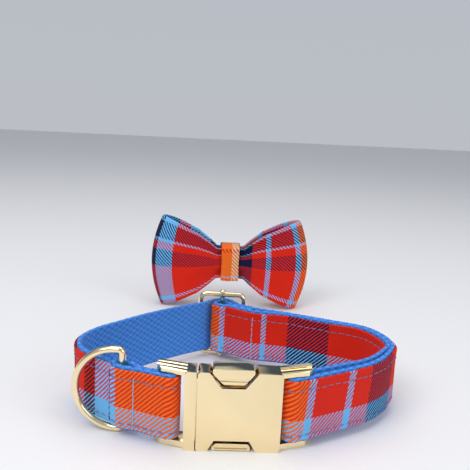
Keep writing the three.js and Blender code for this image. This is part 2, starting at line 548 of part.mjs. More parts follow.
function bowBand() {
  const NU = 72, NW = 16;
  const grid = [];
  for (let i = 0; i < NU; i++) {
    const row = [];
    for (let j = 0; j <= NW; j++) row.push(bowPoint(i / NU, -1 + 2 * j / NW));
    grid.push(row);
  }
  const pos = [], idx = [];
  for (const k of [1, -1]) for (let i = 0; i < NU; i++) for (let j = 0; j <= NW; j++) {
    const a = grid[(i + NU - 1) % NU][j], b = grid[(i + 1) % NU][j];
    const c = grid[i][Math.max(0, j - 1)], d = grid[i][Math.min(NW, j + 1)];
    const U = [b[0] - a[0], b[1] - a[1], b[2] - a[2]], V = [d[0] - c[0], d[1] - c[1], d[2] - c[2]];
    const n = [U[1] * V[2] - U[2] * V[1], U[2] * V[0] - U[0] * V[2], U[0] * V[1] - U[1] * V[0]];
    const l = Math.hypot(n[0], n[1]), p = grid[i][j], h = k * BOW_WALL / 2;
    pos.push(p[0] + n[0] / l * h, p[1] + n[1] / l * h, p[2]);
  }
  const at = (k, i, j) => (k === 1 ? 0 : NU * (NW + 1)) + (i % NU) * (NW + 1) + j;
  for (let i = 0; i < NU; i++) {
    for (let j = 0; j < NW; j++) {
      idx.push(at(1, i, j), at(1, i + 1, j), at(1, i + 1, j + 1), at(1, i, j), at(1, i + 1, j + 1), at(1, i, j + 1));
      idx.push(at(-1, i, j), at(-1, i + 1, j + 1), at(-1, i + 1, j), at(-1, i, j), at(-1, i, j + 1), at(-1, i + 1, j + 1));
    }
    idx.push(at(1, i, 0), at(-1, i, 0), at(-1, i + 1, 0), at(1, i, 0), at(-1, i + 1, 0), at(1, i + 1, 0));
    idx.push(at(1, i, NW), at(-1, i + 1, NW), at(-1, i, NW), at(1, i, NW), at(1, i + 1, NW), at(-1, i + 1, NW));
  }
  const g = new THREE.BufferGeometry();
  g.setAttribute('position', new THREE.BufferAttribute(new Float32Array(pos), 3));
  g.setIndex(idx);
  return outward(g);
}

// an upright loop of tape round the x axis: rounded rectangle in (y, z)
function tapeLoop(halfW, y0, y1, halfH, t, corner, steps = 4) {
  const ringOf = (g0) => {
    const hy = (y1 - y0) / 2 + g0, hz = halfH + g0, c = corner + g0, out = [];
    for (const [sy, sz, a] of [[1, -1, -90], [1, 1, 0], [-1, 1, 90], [-1, -1, 180]])
      for (let i = 0; i <= steps; i++) {
        const f = rad(a + 90 * i / steps);
        out.push([(y0 + y1) / 2 + sy * (hy - c) + c * Math.cos(f), sz * (hz - c) + c * Math.sin(f)]);
      }
    return out;
  };
  const inner = ringOf(0), outer = ringOf(t), n = inner.length, pos = [], idx = [];
  for (const [ring, x] of [[outer, -halfW], [outer, halfW], [inner, halfW], [inner, -halfW]]) for (const [y, z] of ring) pos.push(x, y, z);
  for (let i = 0; i < n; i++) for (let k = 0; k < 4; k++) {
    const a = k * n + i, b = k * n + (i + 1) % n, c = ((k + 1) % 4) * n + (i + 1) % n, d = ((k + 1) % 4) * n + i;
    idx.push(a, b, c, a, c, d);
  }
  const g = new THREE.BufferGeometry();
  g.setAttribute('position', new THREE.BufferAttribute(new Float32Array(pos), 3));
  g.setIndex(idx);
  return outward(g);
}

const KNOT_Y1 = BOW_PINCH + BOW_WALL / 2 + 0.35;
const KNOT_Y0 = -KNOT_Y1;
const KNOT_HALF_H = BOW_HALF_H * 0.335 + 0.3;
const standBow = (g) => g.translate(BOW_X, BOW_Y, BOW_HALF_H);

// ------------------------------------------------------------------- assembly
const colours = {
  web: [0x2f7fd6, 0.85, 0], plaid: [0xc93a26, 0.85, 0], gold: [0xefd9ac, 0.18, 1], black: [0x14161c, 0.8, 0],
};
const group = new THREE.Group();
function piece(name, geometry, [color, roughness, metalness]) {
  const mesh = new THREE.Mesh(geometry, new THREE.MeshStandardMaterial({ color, roughness, metalness }));
  mesh.name = name;
  group.add(mesh);
}

const line = resample(strapLine(), LOOP_HALF / 10, rad(11));
piece('webbing', band(line, 0, WEB_T / 2, STRAP_Z, STRAP_Z + STRAP_W), colours.web);
const strip0 = STRAP_Z + (STRAP_W - PLAID_W) / 2;
piece('plaid_strip', band(line, STRIP_OFF, PLAID_T / 2, strip0, strip0 + PLAID_W), colours.plaid);
piece('buckle_female', fromManifold(female()), colours.gold);
piece('buckle_male', fromManifold(male()), colours.gold);
piece('lever_top', fromManifold(lever(true)), colours.gold);
piece('lever_bottom', fromManifold(lever(false)), colours.gold);
piece('slider', slider(), colours.gold);
piece('d_ring', dRing(), colours.gold);
piece('bow_band', standBow(bowBand()), colours.plaid);
piece('bow_knot', standBow(tapeLoop(KNOT_HALF_W, KNOT_Y0, KNOT_Y1, KNOT_HALF_H, KNOT_T, 1.2)), colours.plaid);
const E0 = KNOT_Y1 + KNOT_T + 0.1 + ELASTIC_T;
piece('bow_elastic', standBow(tapeLoop(ELASTIC_HALF_W, E0, E0 + ELASTIC_SLOT, ELASTIC_HALF_H, ELASTIC_T, 1.9)), colours.black);

const box = new THREE.Box3();
for (const m of group.children) { m.geometry.computeBoundingBox(); box.union(m.geometry.boundingBox); }
const shift = [-(box.min.x + box.max.x) / 2, -(box.min.y + box.max.y) / 2, -box.min.z];
for (const m of group.children) m.geometry.translate(...shift);

export default group;
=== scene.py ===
import math

import bpy
import numpy as np
from mathutils import Matrix, Vector


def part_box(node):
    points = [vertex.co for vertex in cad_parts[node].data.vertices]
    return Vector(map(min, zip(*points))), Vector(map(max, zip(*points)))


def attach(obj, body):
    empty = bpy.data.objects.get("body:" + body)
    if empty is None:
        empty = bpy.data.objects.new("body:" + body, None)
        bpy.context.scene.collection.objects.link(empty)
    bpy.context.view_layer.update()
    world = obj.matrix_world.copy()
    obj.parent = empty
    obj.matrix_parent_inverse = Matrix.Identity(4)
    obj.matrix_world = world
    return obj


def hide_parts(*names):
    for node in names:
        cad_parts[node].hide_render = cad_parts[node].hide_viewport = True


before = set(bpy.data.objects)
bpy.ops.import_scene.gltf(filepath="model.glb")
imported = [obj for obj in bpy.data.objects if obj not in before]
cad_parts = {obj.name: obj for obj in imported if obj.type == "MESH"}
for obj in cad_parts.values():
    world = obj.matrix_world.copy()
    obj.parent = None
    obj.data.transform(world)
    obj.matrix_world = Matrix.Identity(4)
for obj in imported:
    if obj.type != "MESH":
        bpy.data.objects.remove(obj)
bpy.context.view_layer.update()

# ------------------------------------------------------------------ sizes, mm
STRAP_W, STRAP_Z, STRAP_RISE = 25.4, 2.9, 1.0
WEB_T, PLAID_T, PLAID_W = 1.6, 1.0, 23.5
SEAM, LAYER_GAP = 0.05, 0.12
FEMALE_X0 = -13.2
BAR_R, BAR_Y, BAR_RIGHT_X, BAR_LEFT_X, BAR_CLEAR = 1.3, 4.9, 22.1, -23.4, 0.15
LOOP_HALF, LOOP_BACK = 70.0, 89.0
SLIDER_X, SLIDER_Y, SLIDER_TILT = -3.6, LOOP_BACK + 0.6, -5.0
SLIDER_HALF_L, SLIDER_HALF_H, SLIDER_CORNER, SLIDER_POST = 10.9, 15.2, 3.2, 1.0
SLIDER_R, BALL_R, END_CLEAR = 1.25, 1.5, 0.42
SLIDER_Z = SLIDER_HALF_H + SLIDER_POST + BALL_R
RING_R, RING_HALF_H, RING_REACH = 1.35, 15.8, 18.5
RING_Z = RING_HALF_H + RING_R + 0.1
RING_TURN, RING_CORNER, RING_CLEAR = 172.0, 1.6, 0.25
BOW_X, BOW_Y, BOW_HALF_L, BOW_HALF_H = 2.0, 175.0, 50.0, 29.0
BOW_WALL, BOW_BULGE, BOW_DEPTH, BOW_PINCH = 1.8, 6.5, 8.5, 5.0
PLEAT, PLEAT_AT, PLEAT_W, PLEAT_OUT = 3.0, 0.6, 0.24, 0.45
KNOT_HALF_W, KNOT_T = 5.65, 1.3
ELASTIC_HALF_W, ELASTIC_T, ELASTIC_SLOT, ELASTIC_HALF_H = 6.3, 1.2, 4.4, 9.0

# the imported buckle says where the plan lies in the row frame
ORIGIN_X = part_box("buckle_female")[0].x * 1000 - FEMALE_X0
ORIGIN_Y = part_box("buckle_female")[0].y * 1000


def lerp(a, b, t):
    return a + (b - a) * t


def smooth(t):
    t = np.clip(t, 0.0, 1.0)
    return t * t * (3 - 2 * t)


def table(rows, x):
    return np.interp(x, [r[0] for r in rows], [r[1] for r in rows])


# -------------------------------------------------------- the strap's course
ON_BAR = BAR_R + BAR_CLEAR + WEB_T / 2
STRIP_OFF = WEB_T / 2 + SEAM + PLAID_T / 2
SKIN = WEB_T / 2 + SEAM + PLAID_T
TOUCH = (WEB_T + LAYER_GAP) / 2
OVER = SKIN + LAYER_GAP + WEB_T / 2

RIGHT = [  # across, back, apart: shares of LOOP_HALF and LOOP_BACK, and mm
    (0.437, 0.105, 2.22), (0.515, 0.136, 2.15), (0.646, 0.190, 2.12), (0.750, 0.236, 1.75),
    (0.849, 0.305, 1.42), (0.925, 0.386, 1.15), (0.963, 0.436, 0.90), (0.966, 0.512, TOUCH),
    (0.931, 0.594, TOUCH), (0.883, 0.650, TOUCH), (0.826, 0.684, TOUCH), (0.689, 0.731, TOUCH),
    (0.543, 0.783, TOUCH), (0.391, 0.836, TOUCH),
]
LEFT_SINGLE = [  # across, back
    (-0.350, 0.888), (-0.544, 0.759), (-0.716, 0.623), (-0.818, 0.540), (-0.872, 0.469),
    (-0.894, 0.404), (-0.876, 0.324), (-0.822, 0.262), (-0.742, 0.209),
]
SEWN_END = 8.5
LEAVE = 117
STITCH_B, STITCH_A, NEAR_LEFT_BAR = (-0.640, 0.160), (-0.504, 0.096), (-0.415, 0.067)
RING_AT = 0.68
RING_X = lerp(STITCH_A[0], STITCH_B[0], RING_AT) * LOOP_HALF
RING_Y = lerp(STITCH_A[1], STITCH_B[1], RING_AT) * LOOP_BACK


def rise(y):
    return STRAP_RISE * smooth((y / LOOP_BACK - 0.22) / 0.6)


def slider_frame(a, b):
    c, s = math.cos(math.radians(SLIDER_TILT)), math.sin(math.radians(SLIDER_TILT))
    return (SLIDER_X + a * c - b * s, SLIDER_Y + a * s + b * c)


def arc_points(cx, cy, r, start, end, n, place=lambda x, y: (x, y)):
    out = []
    for i in range(n + 1):
        t = math.radians(lerp(start, end, i / n))
        out.append(place(cx + r * math.cos(t), cy + r * math.sin(t)))
    return out


def strap_line():
    share = lambda p: (p[0] * LOOP_HALF, p[1] * LOOP_BACK)
    mids = [share(p) for p in RIGHT]

    def side(k):
        out = []
        for i, p in enumerate(mids):
            a, b = mids[max(0, i - 1)], mids[min(len(mids) - 1, i + 1)]
            l = math.hypot(b[0] - a[0], b[1] - a[1])
            n = ((b[1] - a[1]) / l, -(b[0] - a[0]) / l)
            out.append((p[0] + k * RIGHT[i][2] * n[0], p[1] + k * RIGHT[i][2] * n[1]))
        return out

    on_bar = SLIDER_R + BAR_CLEAR + WEB_T / 2
    run_r = on_bar + OVER + 0.12
    end_r = SLIDER_R + END_CLEAR + SKIN
    cross = math.degrees(math.asin((run_r + end_r) / SLIDER_HALF_L))
    under = end_r + OVER
    stub = arc_points(SLIDER_HALF_L, 0, under, -LEAVE, -90 - cross, 3, slider_frame)
    heading = math.radians(90 - LEAVE + SLIDER_TILT)
    along = lambda p, d: (p[0] + d * math.cos(heading), p[1] + d * math.sin(heading))
    pts = [along(stub[0], SEWN_END), along(stub[0], SEWN_END / 2), *stub]
    for deg, r in [(90 - cross, 0), (70, 0), (95, 0), (125, 0), (152, 0.08), (182, 0.85), (215, 1.7),
                   (245, 2.3), (270, 2.6)]:
        t = math.radians(deg)
        pts.append(slider_frame((on_bar + r) * math.cos(t), (on_bar + r) * math.sin(t)))
    third = under + WEB_T + LAYER_GAP
    low = arc_points(SLIDER_HALF_L, 0, third, -90 - cross + 6, -LEAVE, 2, slider_frame)
    pts += [*low, along(low[2], SEWN_END / 2), along(low[2], SEWN_END)]
    pts += side(-1)[::-1]
    pts += arc_points(BAR_RIGHT_X, BAR_Y, ON_BAR, 118, 302, 9)
    pts += side(1)
    over = arc_points(SLIDER_HALF_L, 0, end_r, -LEAVE, -90 - cross, 3, slider_frame)
    pts += [along(over[0], SEWN_END + LAYER_GAP * 8), along(over[0], SEWN_END / 2), *over]
    pts += arc_points(0, 0, run_r, 90 - cross, 90 + cross, 8, slider_frame)
    pts += arc_points(-SLIDER_HALF_L, 0, end_r, -90 + cross, -90 + cross - 4, 1, slider_frame)
    pts += [share(p) for p in LEFT_SINGLE]
    A, B, N, D = share(STITCH_A), share(STITCH_B), share(NEAR_LEFT_BAR), (RING_X, RING_Y)
    l = math.hypot(A[0] - B[0], A[1] - B[1])
    n = ((A[1] - B[1]) / l, -(A[0] - B[0]) / l)
    off = lambda p, k: (p[0] + n[0] * k, p[1] + n[1] * k)
    pocket = RING_R + RING_CLEAR + WEB_T / 2
    ease = pocket * 0.145
    mid = lambda p, q, t: (lerp(p[0], q[0], t), lerp(p[1], q[1], t))
    pts += [off(B, TOUCH), off(mid(B, D, 0.55), pocket - ease), off(D, pocket),
            off(mid(D, A, 0.45), pocket - ease), off(A, TOUCH), off(N, TOUCH + 0.25)]
    pts += arc_points(BAR_LEFT_X, BAR_Y, ON_BAR, -98, 98, 9)
    pts += [off(N, -TOUCH - 0.25), off(A, -TOUCH), off(mid(D, A, 0.45), -pocket + ease), off(D, -pocket),
            off(mid(B, D, 0.55), -pocket + ease), off(B, -TOUCH - 0.12)]
    pts.append(off((lerp(B[0], A[0], -0.12), lerp(B[1], A[1], -0.12)), -TOUCH - 0.4))
    return np.array(pts)


def smooth_line(p, step):
    """Centripetal Catmull-Rom through the points, at even steps along it."""
    ext = np.vstack([2 * p[0] - p[1], p, 2 * p[-1] - p[-2]])
    out = []
    for i in range(1, len(ext) - 2):
        p0, p1, p2, p3 = ext[i - 1 : i + 3]
        d0, d1, d2 = (max(np.hypot(*(b - a)) ** 0.5, 1e-4) for a, b in ((p0, p1), (p1, p2), (p2, p3)))
        t1 = ((p1 - p0) / d0 - (p2 - p0) / (d0 + d1) + (p2 - p1) / d1) * d1
        t2 = ((p2 - p1) / d1 - (p3 - p1) / (d1 + d2) + (p3 - p2) / d2) * d1
        w = np.linspace(0, 1, 60, endpoint=False)[:, None]
        out.append(p1 + t1 * w + (3 * (p2 - p1) - 2 * t1 - t2) * w**2 + (2 * (p1 - p2) + t1 + t2) * w**3)
    fine = np.vstack([*out, ext[-2:-1]])
    s = np.concatenate([[0], np.cumsum(np.hypot(*np.diff(fine, axis=0).T))])
    n = int(round(s[-1] / step))
    u = np.linspace(0, s[-1], n + 1)
    return np.column_stack([np.interp(u, s, fine[:, 0]), np.interp(u, s, fine[:, 1])]), u


def normals_of(line):
    t = np.gradient(line, axis=0)
    t /= np.hypot(*t.T)[:, None]
    return np.column_stack([t[:, 1], -t[:, 0]])


LINE, LINE_U = smooth_line(strap_line(), 0.5)
NORMAL = normals_of(LINE)


def nearest_u(x, y, low=0.0, high=1e9):
    """How far along the strap the plan point (x, y) is, between low and high."""
    d = np.hypot(LINE[:, 0] - x, LINE[:, 1] - y)
    d[(LINE_U < low) | (LINE_U > high)] = 1e9
    return float(LINE_U[np.argmin(d)])


U_SLIDER_FOLD = nearest_u(*slider_frame(-2.2, 0), 0, 60)
U_RIGHT_BAR = nearest_u(BAR_RIGHT_X + 0.4, BAR_Y - ON_BAR)
U_LEFT_BAR = nearest_u(BAR_LEFT_X + ON_BAR, BAR_Y)
# stripes and rows of stitches, at the plan places where the photograph shows them
U_R1 = nearest_u(28.4, 4.2, U_RIGHT_BAR)
U_R2 = nearest_u(45.9, 12.1, U_RIGHT_BAR)
U_R3 = nearest_u(54.1, 18.1, U_RIGHT_BAR)
U_STITCH_A = nearest_u(-36.7, 6.2, U_RIGHT_BAR, U_LEFT_BAR)
U_STITCH_B = nearest_u(-46.3, 12.1, U_RIGHT_BAR, U_LEFT_BAR)
U_SEWN_END = nearest_u(12.3, 79.5, U_SLIDER_FOLD, U_SLIDER_FOLD + 60)

# ------------------------------------------------------------------ mesh code


def M(points):
    p = np.array(points, float).reshape(-1, 3)
    return (p + np.array([ORIGIN_X, ORIGIN_Y, 0.0])) / 1000.0


def make(name, verts, faces, uv, material):
    """A mesh piece from points in plan millimetres; uv is one pair for each point."""
    mesh = bpy.data.meshes.new(name)
    mesh.from_pydata(M(verts).tolist(), [], [tuple(int(i) for i in f) for f in faces])
    layer = mesh.uv_layers.new(name="UVMap")
    idx = np.zeros(len(mesh.loops), np.int32)
    mesh.loops.foreach_get("vertex_index", idx)
    layer.data.foreach_set("uv", (np.array(uv, np.float32)[idx] / 1000.0).ravel())
    mesh.polygons.foreach_set("use_smooth", [True] * len(mesh.polygons))
    mesh.validate()
    mesh.update()
    o = bpy.data.objects.new(name, mesh)
    bpy.context.scene.collection.objects.link(o)
    mesh.materials.append(material)
    return o


def grid_faces(n, m, wrap_n=False, wrap_m=False, base=0):
    i = np.arange(n if wrap_n else n - 1)
    j = np.arange(m if wrap_m else m - 1)
    I, J = np.meshgrid(i, j, indexing="ij")
    a = base + I * m + J
    b = base + ((I + 1) % n) * m + J
    c = base + ((I + 1) % n) * m + (J + 1) % m
    d = base + I * m + (J + 1) % m
    return np.stack([a, b, c, d], -1).reshape(-1, 4)


def outward(v, faces):
    """Turn quads so that the closed form's faces look out."""
    v = np.asarray(v, float)
    f = np.asarray(faces)
    a, b, c, d = v[f[:, 0]], v[f[:, 1]], v[f[:, 2]], v[f[:, 3]]
    total = (a * np.cross(b, c)).sum() + (a * np.cross(c, d)).sum()
    return f[:, ::-1] if total < 0 else f


# ------------------------------------------------------------------ materials


def srgb(r, g, b):
    f = lambda c: c / 12.92 if c <= 0.04045 else ((c + 0.055) / 1.055) ** 2.4
    return (f(r / 255), f(g / 255), f(b / 255), 1.0)


RED, ORANGE, NAVY = srgb(226, 40, 20), srgb(244, 112, 34), srgb(14, 24, 62)
SKY, TAN = srgb(112, 190, 246), srgb(222, 200, 160)
MAROON = srgb(92, 14, 26)


class Nodes:
    """A material's node tree with short calls; a socket or a number goes in anywhere."""

    def __init__(self, name):
        self.material = bpy.data.materials.new(name)
        self.material.use_nodes = True
        self.tree = self.material.node_tree
        self.tree.nodes.clear()
        self.bsdf = self.new("ShaderNodeBsdfPrincipled")
        out = self.new("ShaderNodeOutputMaterial")
        self.tree.links.new(self.bsdf.outputs[0], out.inputs[0])

    def new(self, kind, **props):
        n = self.tree.nodes.new(kind)
        for k, v in props.items():
            setattr(n, k, v)
        return n

    def put(self, socket, value):
        if isinstance(value, bpy.types.NodeSocket):
            self.tree.links.new(value, socket)
        else:
            socket.default_value = value

    def math(self, op, a, b=0.0):
        n = self.new("ShaderNodeMath", operation=op)
        for s, v in zip(n.inputs, (a, b)):
            self.put(s, v)
        return n.outputs[0]

    def uv_mm(self):
        n = self.new("ShaderNodeUVMap", uv_map="UVMap")
        x = self.new("ShaderNodeSeparateXYZ")
        self.put(x.inputs[0], n.outputs[0])
        return self.math("MULTIPLY", x.outputs[0], 1000.0), self.math("MULTIPLY", x.outputs[1], 1000.0)

    def xyz(self, x, y, z=0.0):
        n = self.new("ShaderNodeCombineXYZ")
        for s, v in zip(n.inputs, (x, y, z)):
            self.put(s, v)
        return n.outputs[0]

    def where(self):
        return self.new("ShaderNodeTexCoord").outputs["Object"]

    def noise(self, vector, scale, detail=2.0, rough=0.5):
        n = self.new("ShaderNodeTexNoise")
        self.put(n.inputs["Vector"], vector)
        n.inputs["Scale"].default_value = scale
        n.inputs["Detail"].default_value = detail
        n.inputs["Roughness"].default_value = rough
        return n.outputs["Fac"] if "Fac" in n.outputs else n.outputs[0]

    def ramp(self, value, stops):
        """stops: (position in mm, colour) rows; value is in mm as well."""
        lo, hi = stops[0][0], stops[-1][0] + 1.0
        f = self.math("DIVIDE", self.math("SUBTRACT", value, lo), hi - lo)
        n = self.new("ShaderNodeValToRGB")
        self.put(n.inputs[0], f)
        r = n.color_ramp
        r.interpolation = "CONSTANT"
        r.elements[0].position, r.elements[0].color = 0.0, stops[0][1]
        r.elements[1].position, r.elements[1].color = 1.0, stops[-1][1]
        for p, colour in stops[1:-1]:
            e = r.elements.new((p - lo) / (hi - lo))
            e.color = colour
        r.elements[len(r.elements) - 1].position = (stops[-1][0] - lo) / (hi - lo)
        return n.outputs[0]

    def mix(self, f, a, b, mode="MIX"):
        n = self.new("ShaderNodeMix", data_type="RGBA", blend_type=mode)
        self.put(n.inputs[0], f)
        self.put(n.inputs[6], a)
        self.put(n.inputs[7], b)
        return n.outputs[2]

    def bump(self, height, distance, strength=1.0):
        n = self.new("ShaderNodeBump")
        self.put(n.inputs["Height"], height)
        n.inputs["Distance"].default_value = distance
        n.inputs["Strength"].default_value = strength
        self.put(self.bsdf.inputs["Normal"], n.outputs[0])

    def set(self, **values):
        for k, v in values.items():
            self.put(self.bsdf.inputs[k.replace("_", " ")], v)


def rib(n, phase, low, high):
    """0 to 1 across one repeat of phase, with soft edges: the raised yarn of a weave."""
    wave = n.math("SINE", n.math("MULTIPLY", phase, 2 * math.pi))
    r = n.new("ShaderNodeMapRange", interpolation_type="SMOOTHSTEP")
    n.put(r.inputs[0], wave)
    r.inputs[1].default_value, r.inputs[2].default_value = low, high
    return r.outputs[0]


STRAP_TWILL, BOW_TWILL = 1.85, 2.3   # mm between the diagonal ribs, along the cloth


def plaid(name, along, rows, lean, twill):
    """Yarn-dyed twill: along is a colour by u, rows a list of (mm, colour) by v."""
    n = Nodes(name)
    u, v = n.uv_mm()
    wobble = n.math("MULTIPLY", n.math("SUBTRACT", n.noise(n.xyz(u, v), 0.55, 1.0), 0.5), 0.5)
    warp = along(n, n.math("ADD", u, n.math("MULTIPLY", wobble, 0.5)), v)
    weft = n.ramp(n.math("ADD", v, n.math("MULTIPLY", wobble, 0.4)), rows)
    phase = n.math("DIVIDE", n.math("ADD", n.math("ADD", u, n.math("MULTIPLY", v, lean)), wobble), twill)
    mask = rib(n, phase, -0.65, 0.25)
    colour = n.mix(mask, weft, warp)
    yarn_v = rib(n, n.math("DIVIDE", v, 0.42), -0.9, 0.9)
    yarn_u = rib(n, n.math("DIVIDE", u, 0.42), -0.9, 0.9)
    yarn = n.mix(mask, n.xyz(yarn_v, yarn_v, yarn_v), n.xyz(yarn_u, yarn_u, yarn_u))
    split = n.new("ShaderNodeSeparateColor")
    n.put(split.inputs[0], yarn)
    fuzz = n.noise(n.xyz(u, v), 2.6, 3.0, 0.6)
    cloud = n.noise(n.xyz(u, v), 0.11, 2.0)
    off_middle = n.math("SUBTRACT", n.math("MULTIPLY", mask, 2.0), 1.0)
    edge = n.math("SUBTRACT", 1.0, n.math("ABSOLUTE", off_middle))
    # shade: the cloth's own uneven tone (fuzz, cloud) times painted shade: the grooves between the twill's ribs
    # (edge) and the hollows between yarns (low split) are painted darker, the yarns' crowns lighter
    shade = n.math("ADD", 0.86, n.math("MULTIPLY", fuzz, 0.22))
    shade = n.math("ADD", shade, n.math("MULTIPLY", cloud, 0.10))
    shade = n.math("MULTIPLY", shade, n.math("SUBTRACT", 1.0, n.math("MULTIPLY", edge, 0.22)))
    shade = n.math("MULTIPLY", shade, n.math("ADD", 0.90, n.math("MULTIPLY", split.outputs[0], 0.14)))
    n.set(Base_Color=n.mix(1.0, colour, n.xyz(shade, shade, shade), "MULTIPLY"))
    ribs = n.math("MULTIPLY", n.math("SUBTRACT", 1.0, edge), 0.6)
    height = n.math("ADD", ribs, n.math("MULTIPLY", split.outputs[0], 0.35))
    height = n.math("ADD", height, n.math("MULTIPLY", fuzz, 0.35))
    n.bump(height, 0.00016, 0.9)
    n.set(Roughness=n.math("ADD", 0.82, n.math("MULTIPLY", fuzz, 0.12)))
    n.bsdf.inputs["Sheen Weight"].default_value = 0.06
    n.bsdf.inputs["Sheen Roughness"].default_value = 0.5
    n.bsdf.inputs["Specular IOR Level"].default_value = 0.12
    return n.material


# stripes across the strap, in mm of strap from the place named
FAR_SIDE = [  # from the fold on the slider's bar
    (-60, RED), (-30, ORANGE), (6.6, SKY), (9.0, RED), (28.9, SKY), (31.2, RED), (42.0, NAVY), (62.5, RED),
]
REPEAT = [  # from the navy stripe at the right bend
    (0.0, NAVY), (18.0, RED), (26.5, SKY), (29.5, RED), (46.5, SKY),
    (49.5, ORANGE), (71.0, SKY), (74.0, RED), (91.0, SKY), (94.0, RED),
]
REPEAT_L = 102.5   # mm until it starts again


LEFT_SIDE = [  # from the fold on the buckle's left bar
    (-50.0, RED), (-43.0, MAROON), (-36.8, SKY), (-24.5, ORANGE), (14.0, SKY), (17.0, RED),
]
SKEW = 2.4   # mm that the stripes lean over the strip's width at the right


def strap_stripes(n, u, v):
    near = [(U_RIGHT_BAR - 40, ORANGE), (U_R1 - 1.4, SKY), (U_R1 + 1.4, RED), (U_R2 - 1.5, SKY),
            (U_R2 + 1.5, RED)]
    left = [(U_LEFT_BAR + p, c) for p, c in LEFT_SIDE]
    k = 0
    while U_R3 + k * REPEAT_L < left[0][0]:
        near += [(U_R3 + k * REPEAT_L + p, c) for p, c in REPEAT if U_R3 + k * REPEAT_L + p < left[0][0] - 1]
        k += 1
    far = [(U_SLIDER_FOLD + p, c) for p, c in FAR_SIDE]
    first = n.ramp(u, far)
    # the strip is sewn on a little askew at the right
    skew = n.math("MULTIPLY", n.math("SUBTRACT", 1.0, n.math("DIVIDE", v, PLAID_W)), SKEW)
    askew = n.ramp(n.math("ADD", u, skew), near)
    second = n.mix(n.math("GREATER_THAN", u, left[0][0]), askew, n.ramp(u, left))
    return n.mix(n.math("GREATER_THAN", u, U_RIGHT_BAR - 20), first, second)


strap_rows = [(-1.0, SKY), (8.3, RED), (40.0, RED)]
plaid_cloth = plaid("plaid_strap", strap_stripes, strap_rows, -1.0, STRAP_TWILL)

BOW_FRONT = [  # mm along the front from the left end
    (-5.0, NAVY), (5.2, SKY), (16.0, RED), (50.0, NAVY), (67.5, RED), (76.0, SKY), (78.8, RED),
    (95.0, SKY), (98.4, ORANGE), (118.0, SKY), (121.0, RED), (138.0, SKY), (141.0, ORANGE),
    (160.0, NAVY), (172.0, SKY), (186.0, RED), (196.0, NAVY),
]
bow_rows = [
    (-32.0, RED), (-26.3, SKY), (-23.8, RED), (-2.8, NAVY), (8.5, RED), (14.0, SKY), (15.7, NAVY),
    (26.5, SKY),
]
bow_cloth = plaid("plaid_bow", lambda n, u, v: n.ramp(u, BOW_FRONT), bow_rows, 1.0, BOW_TWILL)
KNOT_STRIPES = [(-30.0, ORANGE), (0.9, TAN), (30.0, TAN)]
knot_rows = [(-90.0, ORANGE), (-9.2, RED), (-7.6, ORANGE), (7.6, SKY), (8.8, ORANGE), (60.0, ORANGE)]
knot_cloth = plaid("plaid_knot", lambda n, u, v: n.ramp(u, KNOT_STRIPES), knot_rows, -1.0, BOW_TWILL)


LUMP_U, LUMP_V = 4.0, 2.7   # mm of one repeat of the webbing's lumps, along and across


def woven_blue():
    n = Nodes("blue_webbing")
    u, v = n.uv_mm()
    wobble = n.math("MULTIPLY", n.math("SUBTRACT", n.noise(n.xyz(u, v), 0.8, 1.0), 0.5), 0.5)
    a = rib(n, n.math("DIVIDE", n.math("ADD", n.math("ADD", u, v), wobble), 1.9), -0.8, 0.8)
    b = rib(n, n.math("DIVIDE", n.math("ADD", n.math("SUBTRACT", u, v), wobble), 1.9), -0.8, 0.8)
    row = rib(n, n.math("DIVIDE", v, 0.95), -0.9, 0.9)
    pick = rib(n, n.math("DIVIDE", u, 1.25), -0.9, 0.9)
    grain = n.math("MULTIPLY", n.math("ADD", a, b), 0.5)
    lump_u = n.math("COSINE", n.math("MULTIPLY", u, 2 * math.pi / LUMP_U))
    lump_v = n.math("COSINE", n.math("MULTIPLY", v, 2 * math.pi / LUMP_V))
    lump = n.math("ADD", 0.5, n.math("MULTIPLY", n.math("MULTIPLY", lump_u, lump_v), 0.5))
    weave = n.math("ADD", n.math("MULTIPLY", grain, 0.25), n.math("MULTIPLY", n.math("MULTIPLY", row, pick), 0.2))
    weave = n.math("ADD", weave, n.math("MULTIPLY", lump, 0.55))
    fuzz = n.noise(n.xyz(u, v), 2.4, 3.0, 0.65)
    cloud = n.noise(n.xyz(u, v), 0.09, 2.0)
    # painted shade: the blue follows the weave's height, which also drives the bump, so the hollows between lumps
    # and yarns are painted dark blue and the raised lumps light blue
    weave_shaded_blue = n.mix(weave, srgb(22, 96, 196), srgb(92, 170, 248))
    shade = n.math("ADD", 0.86, n.math("ADD", n.math("MULTIPLY", fuzz, 0.20), n.math("MULTIPLY", cloud, 0.10)))
    n.set(Base_Color=n.mix(1.0, weave_shaded_blue, n.xyz(shade, shade, shade), "MULTIPLY"))
    n.bump(n.math("ADD", weave, n.math("MULTIPLY", fuzz, 0.3)), 0.0003, 0.9)
    n.set(Roughness=n.math("ADD", 0.80, n.math("MULTIPLY", fuzz, 0.12)))
    n.bsdf.inputs["Sheen Weight"].default_value = 0.15
    n.bsdf.inputs["Specular IOR Level"].default_value = 0.25
    return n.material


def gold():
    n = Nodes("pale_gold")
    p = n.where()
    stain = n.noise(p, 60.0, 2.0)
    fine = n.noise(p, 900.0, 2.0)
    n.set(Base_Color=n.mix(n.math("MULTIPLY", stain, 0.5), srgb(250, 232, 190), srgb(244, 216, 162)))
    n.bsdf.inputs["Metallic"].default_value = 1.0
    n.set(Roughness=n.math("ADD", 0.07, n.math("MULTIPLY", fine, 0.06)))
    n.bump(n.math("ADD", n.noise(p, 140.0, 1.0), n.math("MULTIPLY", fine, 0.05)), 0.00005, 0.35)
    return n.material


THREAD_TWIST = 0.55   # mm of thread for one turn of its plies


